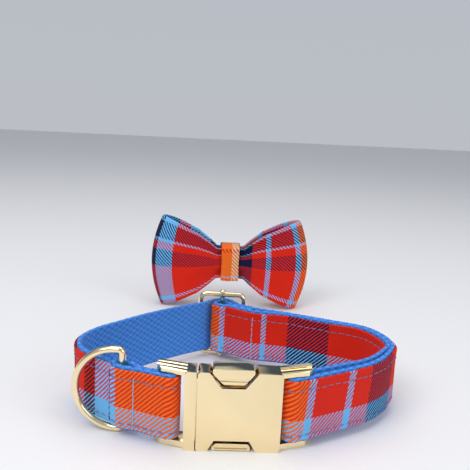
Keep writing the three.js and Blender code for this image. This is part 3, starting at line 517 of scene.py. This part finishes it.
def thread(name, colour):
    n = Nodes(name)
    u, v = n.uv_mm()
    ply = rib(n, n.math("DIVIDE", n.math("ADD", u, n.math("MULTIPLY", v, 0.6)), THREAD_TWIST), -0.8, 0.8)
    fuzz = n.noise(n.where(), 1500.0, 2.0)
    # shade: painted shade in the grooves between the plies (low ply darker, its crowns lighter), plus the thread's
    # own random fuzz tone
    shade = n.math("ADD", 0.62, n.math("ADD", n.math("MULTIPLY", ply, 0.28), n.math("MULTIPLY", fuzz, 0.25)))
    n.set(Base_Color=n.mix(1.0, colour, n.xyz(shade, shade, shade), "MULTIPLY"))
    n.bump(ply, 0.00012, 0.8)
    n.bsdf.inputs["Roughness"].default_value = 0.72
    n.bsdf.inputs["Specular IOR Level"].default_value = 0.3
    return n.material


def black_ribbed():
    n = Nodes("black_elastic")
    u, v = n.uv_mm()
    cord = rib(n, n.math("DIVIDE", v, 1.05), -0.7, 0.7)
    pick = rib(n, n.math("DIVIDE", n.math("ADD", u, n.math("MULTIPLY", cord, 0.4)), 0.8), -0.8, 0.8)
    fuzz = n.noise(n.xyz(u, v), 2.8, 3.0)
    h = n.math("ADD", n.math("MULTIPLY", cord, 0.6), n.math("MULTIPLY", pick, 0.3))
    # shade: painted shade between the ribs: the colour follows the cords' height h, which also drives the bump, so
    # the hollows are painted darker and the cords lighter; fuzz adds the tape's own random tone
    shade = n.math("ADD", 0.55, n.math("ADD", n.math("MULTIPLY", h, 0.45), n.math("MULTIPLY", fuzz, 0.2)))
    n.set(Base_Color=n.mix(1.0, srgb(26, 27, 33), n.xyz(shade, shade, shade), "MULTIPLY"))
    n.bump(n.math("ADD", h, n.math("MULTIPLY", fuzz, 0.25)), 0.0003, 0.9)
    n.set(Roughness=n.math("ADD", 0.70, n.math("MULTIPLY", fuzz, 0.12)))
    n.bsdf.inputs["Sheen Weight"].default_value = 0.12
    return n.material


blue_cloth = woven_blue()
gold_metal = gold()
lavender = thread("thread_lavender", srgb(142, 140, 186))
sky_thread = thread("thread_sky", srgb(150, 196, 236))
dark_thread = thread("thread_dark", srgb(52, 40, 62))
black_tape = black_ribbed()

# ------------------------------------------------------------ webbing and strip


def strap_profile(h, width, r, rows, arc=8):
    """Closed outline (t across the thickness, z up, v for the pattern)."""
    out = [(h, z, z) for z in rows]
    for i in range(1, arc):
        f = math.pi * i / arc
        t = h * math.cos(f)
        out.append((t, width - r + r * math.sin(f), width - r + (h - abs(t)) * 0.9 + r * 0.2))
    out += [(-h, z, z) for z in reversed(rows)]
    for i in range(1, arc):
        f = math.pi * i / arc
        t = -h * math.cos(f)
        out.append((t, r - r * math.sin(f), r - (h - abs(t)) * 0.9 - r * 0.2))
    return np.array(out)


def strap_piece(name, step, off, profile, z0, shift, material):
    """A band along the strap's course: off is its middle's distance outwards from the webbing's."""
    line, u = smooth_line(strap_line(), step)
    nrm = normals_of(line)
    t, z, v = profile[:, 0][None, :], profile[:, 1][None, :], profile[:, 2][None, :]
    dt, dz = shift(u[:, None], t, z)
    T = off + t + dt
    pos = np.stack([
        line[:, 0:1] + nrm[:, 0:1] * T, line[:, 1:2] + nrm[:, 1:2] * T,
        z0 + z + dz + rise(line[:, 1:2]) + 0 * T], -1)
    n, m = pos.shape[:2]
    verts = pos.reshape(-1, 3)
    uv = np.stack([np.repeat(u[:, None], m, 1), np.repeat(v, n, 0)], -1).reshape(-1, 2)
    faces = outward(verts, grid_faces(n, m, wrap_m=True)).tolist()
    flip = faces[0][0] != 0
    cap0, cap1 = list(range(m)), list(range((n - 1) * m, n * m))
    half = m // 2
    for cap, turn in ((cap0, not flip), (cap1, flip)):        # flat ends, in strips of quads
        for k in range(half - 1):
            q = [cap[k], cap[k + 1], cap[m - 2 - k], cap[m - 1 - k]]
            faces.append(q[::-1] if turn else q)
    return make(name, verts, faces, uv, material)


def edge_rows(w, extra=()):
    """Heights of a band's rows of points: closer together at both edges."""
    return sorted({0.55, 0.9, 1.4, w / 4, w / 2, 3 * w / 4, w - 1.4, w - 0.9, w - 0.55, *extra})


EDGE_R = 0.5     # rounding of a band's edges
SELVAGE = 1.45   # from one loop of the webbing's edge to the next


def web_shift(u, t, z):
    near = smooth((np.abs(z - STRAP_W / 2) - STRAP_W / 2 + 0.7) / 0.6)
    loop = np.abs(np.sin(math.pi * u / SELVAGE + 0.6 * np.sign(t)))
    top = np.where(z > STRAP_W / 2, 1.0, -1.0)
    dz = near * top * (0.26 * loop - 0.16)
    dt = near * np.sign(t) * (0.10 * loop - 0.05) + 0.03 * np.sin(u / 7.3 + z / 9.0)
    return dt, dz


web_profile = strap_profile(WEB_T / 2, STRAP_W, EDGE_R, edge_rows(STRAP_W))
webbing = strap_piece("webbing_cloth", 0.30, 0.0, web_profile, STRAP_Z, web_shift, blue_cloth)
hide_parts("webbing")
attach(webbing, "collar")

STITCH_ROWS = (2.1, PLAID_W - 3.6)   # on the strip, from its lower edge
STITCH_PITCH, STITCH_L = 3.3, 2.3


def plaid_shift(u, t, z):
    out = (t > 0) * 1.0
    dip = sum(np.exp(-(((z - r) / 0.9) ** 2)) for r in STITCH_ROWS)
    ends = 0.45 + 0.55 * np.cos(2 * math.pi * u / STITCH_PITCH) ** 2
    puff = 0.10 * np.sin(u / 5.1 + 1.3 * np.sin(z / 6.0)) + 0.06 * np.sin(u / 2.3 + z / 3.0)
    top = smooth((z - PLAID_W + 2.5) / 2.5)
    dz = 0.16 * np.sin(u / 4.7) * np.exp(-((PLAID_W - z) / 2.0)) - 0.12 * np.sin(u / 5.9 + 1) * np.exp(-z / 2.0)
    return out * (-0.22 * dip * ends + puff * 0.6 + 0.10 * top), dz


fine_rows = [   # more rows where the stitches pull the strip in
    1.2, 1.6, 2.1, 2.6, 3.1, PLAID_W - 4.6, PLAID_W - 4.1, PLAID_W - 3.6, PLAID_W - 3.1, PLAID_W - 2.6,
    6.0, 9.0, 12.0, 15.0, 17.5,
]
strip0 = STRAP_Z + (STRAP_W - PLAID_W) / 2
strip_profile = strap_profile(PLAID_T / 2, PLAID_W, EDGE_R, edge_rows(PLAID_W, fine_rows), 6)
strip = strap_piece("plaid_strip_cloth", 0.5, STRIP_OFF, strip_profile, strip0, plaid_shift, plaid_cloth)
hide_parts("plaid_strip")
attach(strip, "collar")


def tube(path, radius, sides=6, closed=False, ref=None):
    """Vertices, faces and uv of a round tube along 3-D points in mm."""
    p = np.array(path, float)
    n = len(p)
    if closed:
        t = np.roll(p, -1, 0) - np.roll(p, 1, 0)
    else:
        t = np.gradient(p, axis=0)
    t /= np.linalg.norm(t, axis=1)[:, None]
    if ref is None:   # the sides are set out from an axis that no stretch of the path follows
        ref = (0.0, 0.0, 1.0) if abs(t[:, 2]).max() < 0.95 else (1.0, 0.0, 0.0)
    a = np.cross(t, np.array(ref))
    a /= np.linalg.norm(a, axis=1)[:, None]
    b = np.cross(t, a)
    f = 2 * math.pi * np.arange(sides) / sides
    r = np.full(n, radius) if np.isscalar(radius) else np.asarray(radius, float)
    round_it = a[:, None] * np.cos(f)[None, :, None] + b[:, None] * np.sin(f)[None, :, None]
    v = p[:, None] + r[:, None, None] * round_it
    s = np.concatenate([[0], np.cumsum(np.linalg.norm(np.diff(p, axis=0), axis=1))])
    uv = np.stack([np.repeat(s[:, None], sides, 1), np.repeat((f * r.max())[None, :], n, 0)], -1)
    faces = grid_faces(n, sides, wrap_n=closed, wrap_m=True)[:, ::-1].tolist()
    if not closed:
        faces += [list(range(sides)), list(range((n - 1) * sides, n * sides))[::-1]]
    return v.reshape(-1, 3), faces, uv.reshape(-1, 2)


def join_parts(name, parts, material, body="collar"):
    V, F, U, base = [], [], [], 0
    for v, f, uv in parts:
        V.append(v)
        U.append(uv)
        F += [[i + base for i in q] for q in f]
        base += len(v)
    o = make(name, np.vstack(V), F, np.vstack(U), material)
    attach(o, body)
    return o


def on_strap(u, z, lift):
    """A point on the strip's outer face: u along, z up, lift mm proud of it."""
    x, y = np.interp(u, LINE_U, LINE[:, 0]), np.interp(u, LINE_U, LINE[:, 1])
    nx, ny = np.interp(u, LINE_U, NORMAL[:, 0]), np.interp(u, LINE_U, NORMAL[:, 1])
    d = STRIP_OFF + PLAID_T / 2 + lift
    return (x + nx * d, y + ny * d, z + rise(y))


# how far a stitch stands proud of the cloth, by share of its length
RUNNING_STITCH = ((0.0, -0.35), (0.12, -0.10), (0.35, 0.02), (0.65, 0.02), (0.88, -0.10), (1.0, -0.35))
CROSS_STITCH = ((0, -0.35), (0.12, -0.05), (0.5, 0.08), (0.88, -0.05), (1, -0.35))


def running_stitches(name, row, u0, u1, material):
    parts = []
    k = 0
    u = u0
    while u + STITCH_L < u1:
        z = strip0 + row + 0.10 * math.sin(k * 1.7)
        path = [on_strap(u + STITCH_L * q, z + 0.12 * math.sin(k * 2.3) * (q - 0.5), lift)
                for q, lift in RUNNING_STITCH]
        parts.append(tube(path, 0.21, 6))
        u += STITCH_PITCH + 0.12 * math.sin(k * 0.9)
        k += 1
    return join_parts(name, parts, material)


running_stitches("stitches_upper", STITCH_ROWS[1], 14.0, float(LINE_U[-1]) - 3, lavender)
running_stitches("stitches_lower", STITCH_ROWS[0], 14.0, float(LINE_U[-1]) - 3, lavender)


def cross_stitches(name, u, pitch, length, radius, material, wander):
    """An upright row of stitches across the strip, each wandering by up to wander mm."""
    parts, z, k = [], strip0 + 0.8, 0
    while z + length < strip0 + PLAID_W - 0.6:
        du = wander * math.sin(k * 2.1)
        path = [on_strap(u + du * q, z + length * q, lift) for q, lift in CROSS_STITCH]
        parts.append(tube(path, radius, 6))
        z += pitch
        k += 1
    return join_parts(name, parts, material)


cross_stitches("stitches_near_buckle", U_STITCH_A, 2.5, 2.4, 0.24, sky_thread, 0.15)
cross_stitches("stitches_behind_ring", U_STITCH_B, 2.2, 1.8, 0.2, dark_thread, 0.25)
cross_stitches("stitches_by_slider", U_SEWN_END, 2.6, 2.2, 0.24, sky_thread, 0.1)

# ----------------------------------------------------------------- hard pieces
for node in ("buckle_female", "buckle_male", "lever_top", "lever_bottom"):
    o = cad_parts[node]
    o.data.materials.clear()
    o.data.materials.append(gold_metal)
    weld = o.modifiers.new("weld", "WELD")
    weld.merge_threshold = 1e-6
    flat = o.modifiers.new("flat", "DECIMATE")
    flat.decimate_type = "DISSOLVE"
    flat.angle_limit = math.radians(1.5)
    soft = o.modifiers.new("soft_edges", "BEVEL")
    soft.width = 0.0005
    soft.segments = 3
    soft.limit_method = "ANGLE"
    soft.angle_limit = math.radians(28)
    soft.harden_normals = True
    for p in o.data.polygons:
        p.use_smooth = True


def turned(points, angle, x, y, z):
    """Points drawn in an upright plane, turned about Z and placed in plan mm."""
    c, s = math.cos(math.radians(angle)), math.sin(math.radians(angle))
    p = np.array(points, float)
    return np.column_stack([x + p[:, 0] * c - p[:, 1] * s, y + p[:, 0] * s + p[:, 1] * c, z + p[:, 2]])


def d_line():
    H, c, flat = RING_HALF_H, RING_CORNER, RING_REACH - RING_HALF_H
    line = [(0, lerp(H - c, -H + c, i / 12)) for i in range(12)]
    for cx, cz, r, a, b, n in ((c, -H + c, c, 180, 270, 10), (flat, 0, H, -90, 90, 60), (c, H - c, c, 90, 180, 10)):
        for i in range(n + 1):
            t = math.radians(lerp(a, b, i / n))
            line.append((cx + r * math.cos(t), cz + r * math.sin(t)))
    return [(x, 0.0, z) for x, z in line[:-1]]


v, f, uv = tube(d_line(), RING_R, 20, closed=True, ref=(0, 1, 0))
v = turned(v, RING_TURN, RING_X, RING_Y, RING_Z)
ring = make("d_ring_metal", v, outward(v, f), uv, gold_metal)
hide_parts("d_ring")
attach(ring, "d_ring")


def slider_line():
    L, H, c, out = SLIDER_HALF_L, SLIDER_HALF_H, SLIDER_CORNER, []
    for cx, cz, a in ((L - c, -H + c, -90), (L - c, H - c, 0), (-L + c, H - c, 90), (-L + c, -H + c, 180)):
        for i in range(13):
            t = math.radians(a + 90 * i / 12)
            out.append((cx + c * math.cos(t), 0.0, cz + c * math.sin(t)))
    return out


def ball_parts(z):
    path, r = [], []
    for i in range(13):
        t = math.radians(-88 + 176 * i / 12)
        path.append((0, 0, z + BALL_R * math.sin(t)))
        r.append(BALL_R * math.cos(t))
    return tube(path, r, 20)


BALL_AT = SLIDER_HALF_H + SLIDER_POST
slider_bar = [(0, 0, lerp(-BALL_AT, BALL_AT, i / 10)) for i in range(11)]
parts = [tube(slider_line(), SLIDER_R, 20, closed=True, ref=(0, 1, 0)), tube(slider_bar, SLIDER_R, 20),
         ball_parts(BALL_AT), ball_parts(-BALL_AT)]
parts = [(turned(a, SLIDER_TILT, SLIDER_X, SLIDER_Y, SLIDER_Z), b, c) for a, b, c in parts]
slide = join_parts("slider_metal", parts, gold_metal, "collar")
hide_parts("slider")

# --------------------------------------------------------------------- bow tie
BOW_EDGE = [  # share of the half length from the middle, share of the half height
    (0.00, 0.330), (0.175, 0.338), (0.27, 0.48), (0.42, 0.66), (0.56, 0.76), (0.70, 0.85),
    (0.85, 0.93), (1.0, 1.0),
]
BOW_BODY = [  # share of the half length from the middle, share of BOW_DEPTH
    (0.00, BOW_PINCH / BOW_DEPTH), (0.12, BOW_PINCH / BOW_DEPTH), (0.25, 0.72), (0.42, 0.95),
    (0.60, 1.0), (0.80, 0.88), (1.0, 0.66),
]


def bow_points(u, w):
    """Middle of the bow's cloth: u 0..1 round the band, w -1..1 from the lower edge up."""
    t = 2 * math.pi * u
    xi = -np.cos(t)
    front = np.where(np.sin(t) >= 0, 1.0, -1.0)
    s = np.abs(xi)
    half = BOW_HALF_H * table(BOW_EDGE, s)
    end = BOW_HALF_L - BOW_WALL / 2 - BOW_BULGE * w * w * smooth((s - 0.25) / 0.75)
    close = np.sqrt(np.maximum(0, 1 - s**10))
    fade = np.maximum(0, 1 - s / 0.84) ** 1.4
    wide = np.where(np.abs(w) < PLEAT_AT, PLEAT_W, PLEAT_OUT)
    fold = PLEAT * fade * np.exp(-(((np.abs(w) - PLEAT_AT) / wide) ** 2)) * np.where(front > 0, 1.0, 0.35)
    lean = 0.9 * smooth(s / 0.4) * (1 - w * w) * np.where(front > 0, 1.0, 0.6)
    depth = BOW_DEPTH * table(BOW_BODY, s) + lean
    return np.stack([xi * end, -front * close * (depth - fold), w * half], -1)


def bow_piece():
    NU, rim = 384, 5
    w = np.linspace(-1, 1, 73)
    u = np.linspace(0, 1, NU + 1)
    mid = bow_points(u[:, None], w[None, :])
    step = 1e-4
    du = bow_points((u + step)[:, None], w[None, :]) - bow_points((u - step)[:, None], w[None, :])
    dw = np.gradient(mid, axis=1)
    nrm = np.cross(du, dw)
    nrm[..., 2] = 0
    nrm /= np.linalg.norm(nrm, axis=-1)[..., None]
    s = np.concatenate([[0], np.cumsum(np.linalg.norm(np.diff(mid[:, 36], axis=0), axis=1))])
    h = BOW_WALL / 2
    rows, vv = [], []
    lift = 0.10 * np.sin(s / 2.7)[:, None] * np.exp(-(((np.abs(w)[None, :] - 0.9) / 0.06) ** 2))
    for j in range(len(w)):                                   # outside, lower edge to upper
        edge = math.sqrt(max(0.0, 1 - max(0.0, (abs(w[j]) - 0.972) / 0.028) ** 2))
        rows.append(mid[:, j] + nrm[:, j] * (h * (0.25 + 0.75 * edge) + lift[:, j][:, None]))
        vv.append(w[j] * BOW_HALF_H)
    for k in range(1, rim):                                   # over the top edge
        f = math.pi * k / rim
        rows.append(mid[:, -1] + nrm[:, -1] * h * 0.25 * math.cos(f) + np.array([0, 0, -0.02 + 0.02 * math.sin(f)]))
        vv.append(BOW_HALF_H + h * k / rim)
    for j in range(len(w) - 1, -1, -1):
        edge = math.sqrt(max(0.0, 1 - max(0.0, (abs(w[j]) - 0.972) / 0.028) ** 2))
        rows.append(mid[:, j] - nrm[:, j] * h * (0.25 + 0.75 * edge))
        vv.append(w[j] * BOW_HALF_H)
    for k in range(1, rim):
        f = math.pi * k / rim
        rows.append(mid[:, 0] - nrm[:, 0] * h * 0.25 * math.cos(f) - np.array([0, 0, -0.02 + 0.02 * math.sin(f)]))
        vv.append(-BOW_HALF_H - h * k / rim)
    g = np.stack(rows, 1)                                     # NU+1 by m
    m = g.shape[1]
    verts = g.reshape(-1, 3) + np.array([BOW_X, BOW_Y, BOW_HALF_H])
    uv = np.stack([np.repeat(s[:, None], m, 1), np.repeat(np.array(vv)[None, :], NU + 1, 0)], -1).reshape(-1, 2)
    faces = outward(verts, grid_faces(NU + 1, m, wrap_m=True))
    return make("bow_cloth", verts, faces, uv, bow_cloth)


bow = bow_piece()
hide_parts("bow_band")
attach(bow, "collar")

KNOT_Y1 = BOW_PINCH + BOW_WALL / 2 + 0.35
KNOT_Y0 = -KNOT_Y1
KNOT_HALF_H = BOW_HALF_H * 0.335 + 0.3
ELASTIC_Y0 = KNOT_Y1 + KNOT_T + 0.1 + ELASTIC_T


def tape_loop(name, half_w, y0, y1, half_h, t, corner, material, slot, waist=0.0, rib_step=0.0):
    """A loop of tape round the x axis, with rounded edges and slightly uneven sides."""
    steps, ring = 12, []
    hy, hz = (y1 - y0) / 2, half_h
    for sy, sz, a in ((1, -1, -90), (1, 1, 0), (-1, 1, 90), (-1, -1, 180)):
        for i in range(steps + 1):
            f = math.radians(a + 90 * i / steps)
            y = (y0 + y1) / 2 + sy * (hy - corner) + corner * math.cos(f)
            ring.append((y, sz * (hz - corner) + corner * math.sin(f), math.cos(f), math.sin(f)))
    path = []
    for i in range(len(ring)):                                # even steps along the straight runs
        a, b = ring[i], ring[(i + 1) % len(ring)]
        d = math.hypot(b[0] - a[0], b[1] - a[1])
        for k in range(max(1, int(d / 0.5))):
            q = k / max(1, int(d / 0.5))
            path.append(tuple(lerp(a[j], b[j], q) for j in range(4)))
    path.append(path[0])
    p = np.array(path)
    n = p[:, 2:4] / np.linalg.norm(p[:, 2:4], axis=1)[:, None]
    s = np.concatenate([[0], np.cumsum(np.hypot(*np.diff(p[:, :2], axis=0).T))])
    s = s - s[np.argmin(np.abs(p[:, 1]) + 1000 * (p[:, 0] > (y0 + y1) / 2))]
    prof = []
    r = t / 2
    across = np.linspace(-half_w + r, half_w - r, 25)
    for x in across:
        prof.append((x, t))
    for k in range(1, 6):
        f = math.pi / 2 - math.pi * k / 6
        prof.append((half_w - r + r * math.cos(f), r + r * math.sin(f)))
    for x in across[::-1]:
        prof.append((x, 0.0))
    for k in range(1, 6):
        f = -math.pi / 2 - math.pi * k / 6
        prof.append((-half_w + r + r * math.cos(f), r + r * math.sin(f)))
    prof = np.array(prof)
    x = np.repeat(prof[:, 0][None, :], len(p), 0) * (1 - waist * np.exp(-((p[:, 1:2] / 6.0) ** 2)))
    lift = prof[:, 1][None, :] * (1 + 0 * x)
    if rib_step:
        lift = lift + 0.07 * np.cos(2 * math.pi * x / rib_step) * np.where(prof[:, 1][None, :] > t * 0.9, 1.0, 0.0)
    else:
        crease = 0.10 * np.cos(x / half_w * 4.2 + 0.4) * np.where(prof[:, 1][None, :] > t * 0.9, 1.0, 0.0)
        lift = lift + crease
    verts = np.stack([x, p[:, 0:1] + n[:, 0:1] * lift, p[:, 1:2] + n[:, 1:2] * lift], -1)
    nn, m = verts.shape[:2]
    verts = verts.reshape(-1, 3) + np.array([BOW_X, BOW_Y, BOW_HALF_H])
    if slot == "black_elastic":
        uv = np.stack([np.repeat(s[:, None], m, 1), x], -1).reshape(-1, 2)
    else:
        uv = np.stack([x, np.repeat(s[:, None], m, 1)], -1).reshape(-1, 2)
    o = make(name, verts, outward(verts, grid_faces(nn, m, wrap_m=True)), uv, material)
    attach(o, "collar")
    return o


knot = tape_loop("bow_knot_cloth", KNOT_HALF_W, KNOT_Y0, KNOT_Y1, KNOT_HALF_H, KNOT_T, 1.2,
                 knot_cloth, "knot_cloth", 0.05)
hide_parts("bow_knot")
elastic = tape_loop("bow_elastic_tape", ELASTIC_HALF_W, ELASTIC_Y0, ELASTIC_Y0 + ELASTIC_SLOT,
                    ELASTIC_HALF_H, ELASTIC_T, 1.9, black_tape, "black_elastic", 0.0, 1.05)
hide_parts("bow_elastic")

# -------------------------------------------------- floor, light and the camera


def plain(name, colour, rough):
    n = Nodes(name)
    n.set(Base_Color=n.mix(n.noise(n.where(), 6.0, 2.0), colour, tuple(c * 0.985 for c in colour[:3]) + (1.0,)))
    n.bsdf.inputs["Roughness"].default_value = rough
    return n.material


floor_mesh = bpy.data.meshes.new("floor")
FLOOR = 3.0
floor_mesh.from_pydata([(-FLOOR, -FLOOR, 0), (FLOOR, -FLOOR, 0), (FLOOR, FLOOR, 0), (-FLOOR, FLOOR, 0)], [], [(0, 1, 2, 3)])
floor_mesh.materials.append(plain("floor_pale", srgb(243, 243, 244), 0.55))
floor = bpy.data.objects.new("floor", floor_mesh)
bpy.context.scene.collection.objects.link(floor)

world = bpy.data.worlds.new("studio")
bpy.context.scene.world = world
world.use_nodes = True
wt = world.node_tree
wt.nodes.clear()
coord = wt.nodes.new("ShaderNodeTexCoord")
sep = wt.nodes.new("ShaderNodeSeparateXYZ")
wt.links.new(coord.outputs["Generated"], sep.inputs[0])
up = wt.nodes.new("ShaderNodeValToRGB")
wt.links.new(sep.outputs[2], up.inputs[0])
r = up.color_ramp
r.elements[0].position, r.elements[0].color = 0.0, (0.80, 0.84, 0.90, 1)
r.elements[1].position, r.elements[1].color = 1.0, (0.95, 0.96, 1.0, 1)
DARK_BAND = (0.10, 0.14, 0.24, 1)   # what the polished metal mirrors between floor and ceiling
for pos, colour in ((0.20, (0.78, 0.82, 0.90, 1)), (0.27, DARK_BAND), (0.48, DARK_BAND),
                    (0.62, (0.85, 0.88, 0.95, 1))):
    e = r.elements.new(pos)
    e.color = colour
front = wt.nodes.new("ShaderNodeMapRange")
front.inputs[1].default_value, front.inputs[2].default_value = -0.15, 0.25
wt.links.new(sep.outputs[1], front.inputs[0])
mixer = wt.nodes.new("ShaderNodeMix")
mixer.data_type = "RGBA"
wt.links.new(front.outputs[0], mixer.inputs[0])
mixer.inputs[6].default_value = (0.72, 0.74, 0.78, 1)
wt.links.new(up.outputs[0], mixer.inputs[7])
bg = wt.nodes.new("ShaderNodeBackground")
wt.links.new(mixer.outputs[2], bg.inputs[0])
bg.inputs[1].default_value = 0.62
wo = wt.nodes.new("ShaderNodeOutputWorld")
wt.links.new(bg.outputs[0], wo.inputs[0])


def area(name, at, aim, size, watts):
    lamp = bpy.data.lights.new(name, "AREA")
    lamp.shape = "RECTANGLE"
    lamp.size, lamp.size_y = size
    lamp.energy = watts
    o = bpy.data.objects.new(name, lamp)
    o.location = at
    o.rotation_mode = "QUATERNION"
    o.rotation_quaternion = (Vector(aim) - Vector(at)).to_track_quat("-Z", "Y")
    bpy.context.scene.collection.objects.link(o)


middle = (0.0, 0.0, 0.02)
area("key", (-0.45, -0.55, 0.75), middle, (0.55, 0.55), 4.0)
area("fill", (0.60, -0.45, 0.45), middle, (0.5, 0.5), 1.4)
area("top", (0.0, 0.10, 0.95), middle, (0.9, 0.7), 2.6)

# the camera that was fitted to the photograph: radians, a heading and plan mm
PITCH, ROLL, HEAD = 0.19304, 0.0483156, Vector((0.0394, 0.9992, 0.0))
CAMERA_AT = (-10.3, -200.1, 120.08)
FOCAL_PX, PHOTO_PX = 600.0, 470.0
right0 = Vector((HEAD.y, -HEAD.x, 0.0))
look = HEAD * math.cos(PITCH) + Vector((0, 0, -math.sin(PITCH)))
up0 = HEAD * math.sin(PITCH) + Vector((0, 0, math.cos(PITCH)))
cam_right = right0 * math.cos(ROLL) + up0 * math.sin(ROLL)
cam_up = up0 * math.cos(ROLL) - right0 * math.sin(ROLL)
camera = bpy.data.objects.new("camera", bpy.data.cameras.new("camera"))
camera.data.sensor_width = 36.0
camera.data.lens = FOCAL_PX / PHOTO_PX * camera.data.sensor_width
camera.data.clip_start, camera.data.clip_end = 0.01, 20.0
camera.rotation_mode = "QUATERNION"
camera.rotation_quaternion = Matrix((cam_right, cam_up, -look)).transposed().to_quaternion()
camera.location = Vector(M([CAMERA_AT])[0])
bpy.context.scene.collection.objects.link(camera)
bpy.context.scene.camera = camera
bpy.context.scene.view_settings.view_transform = "Standard"
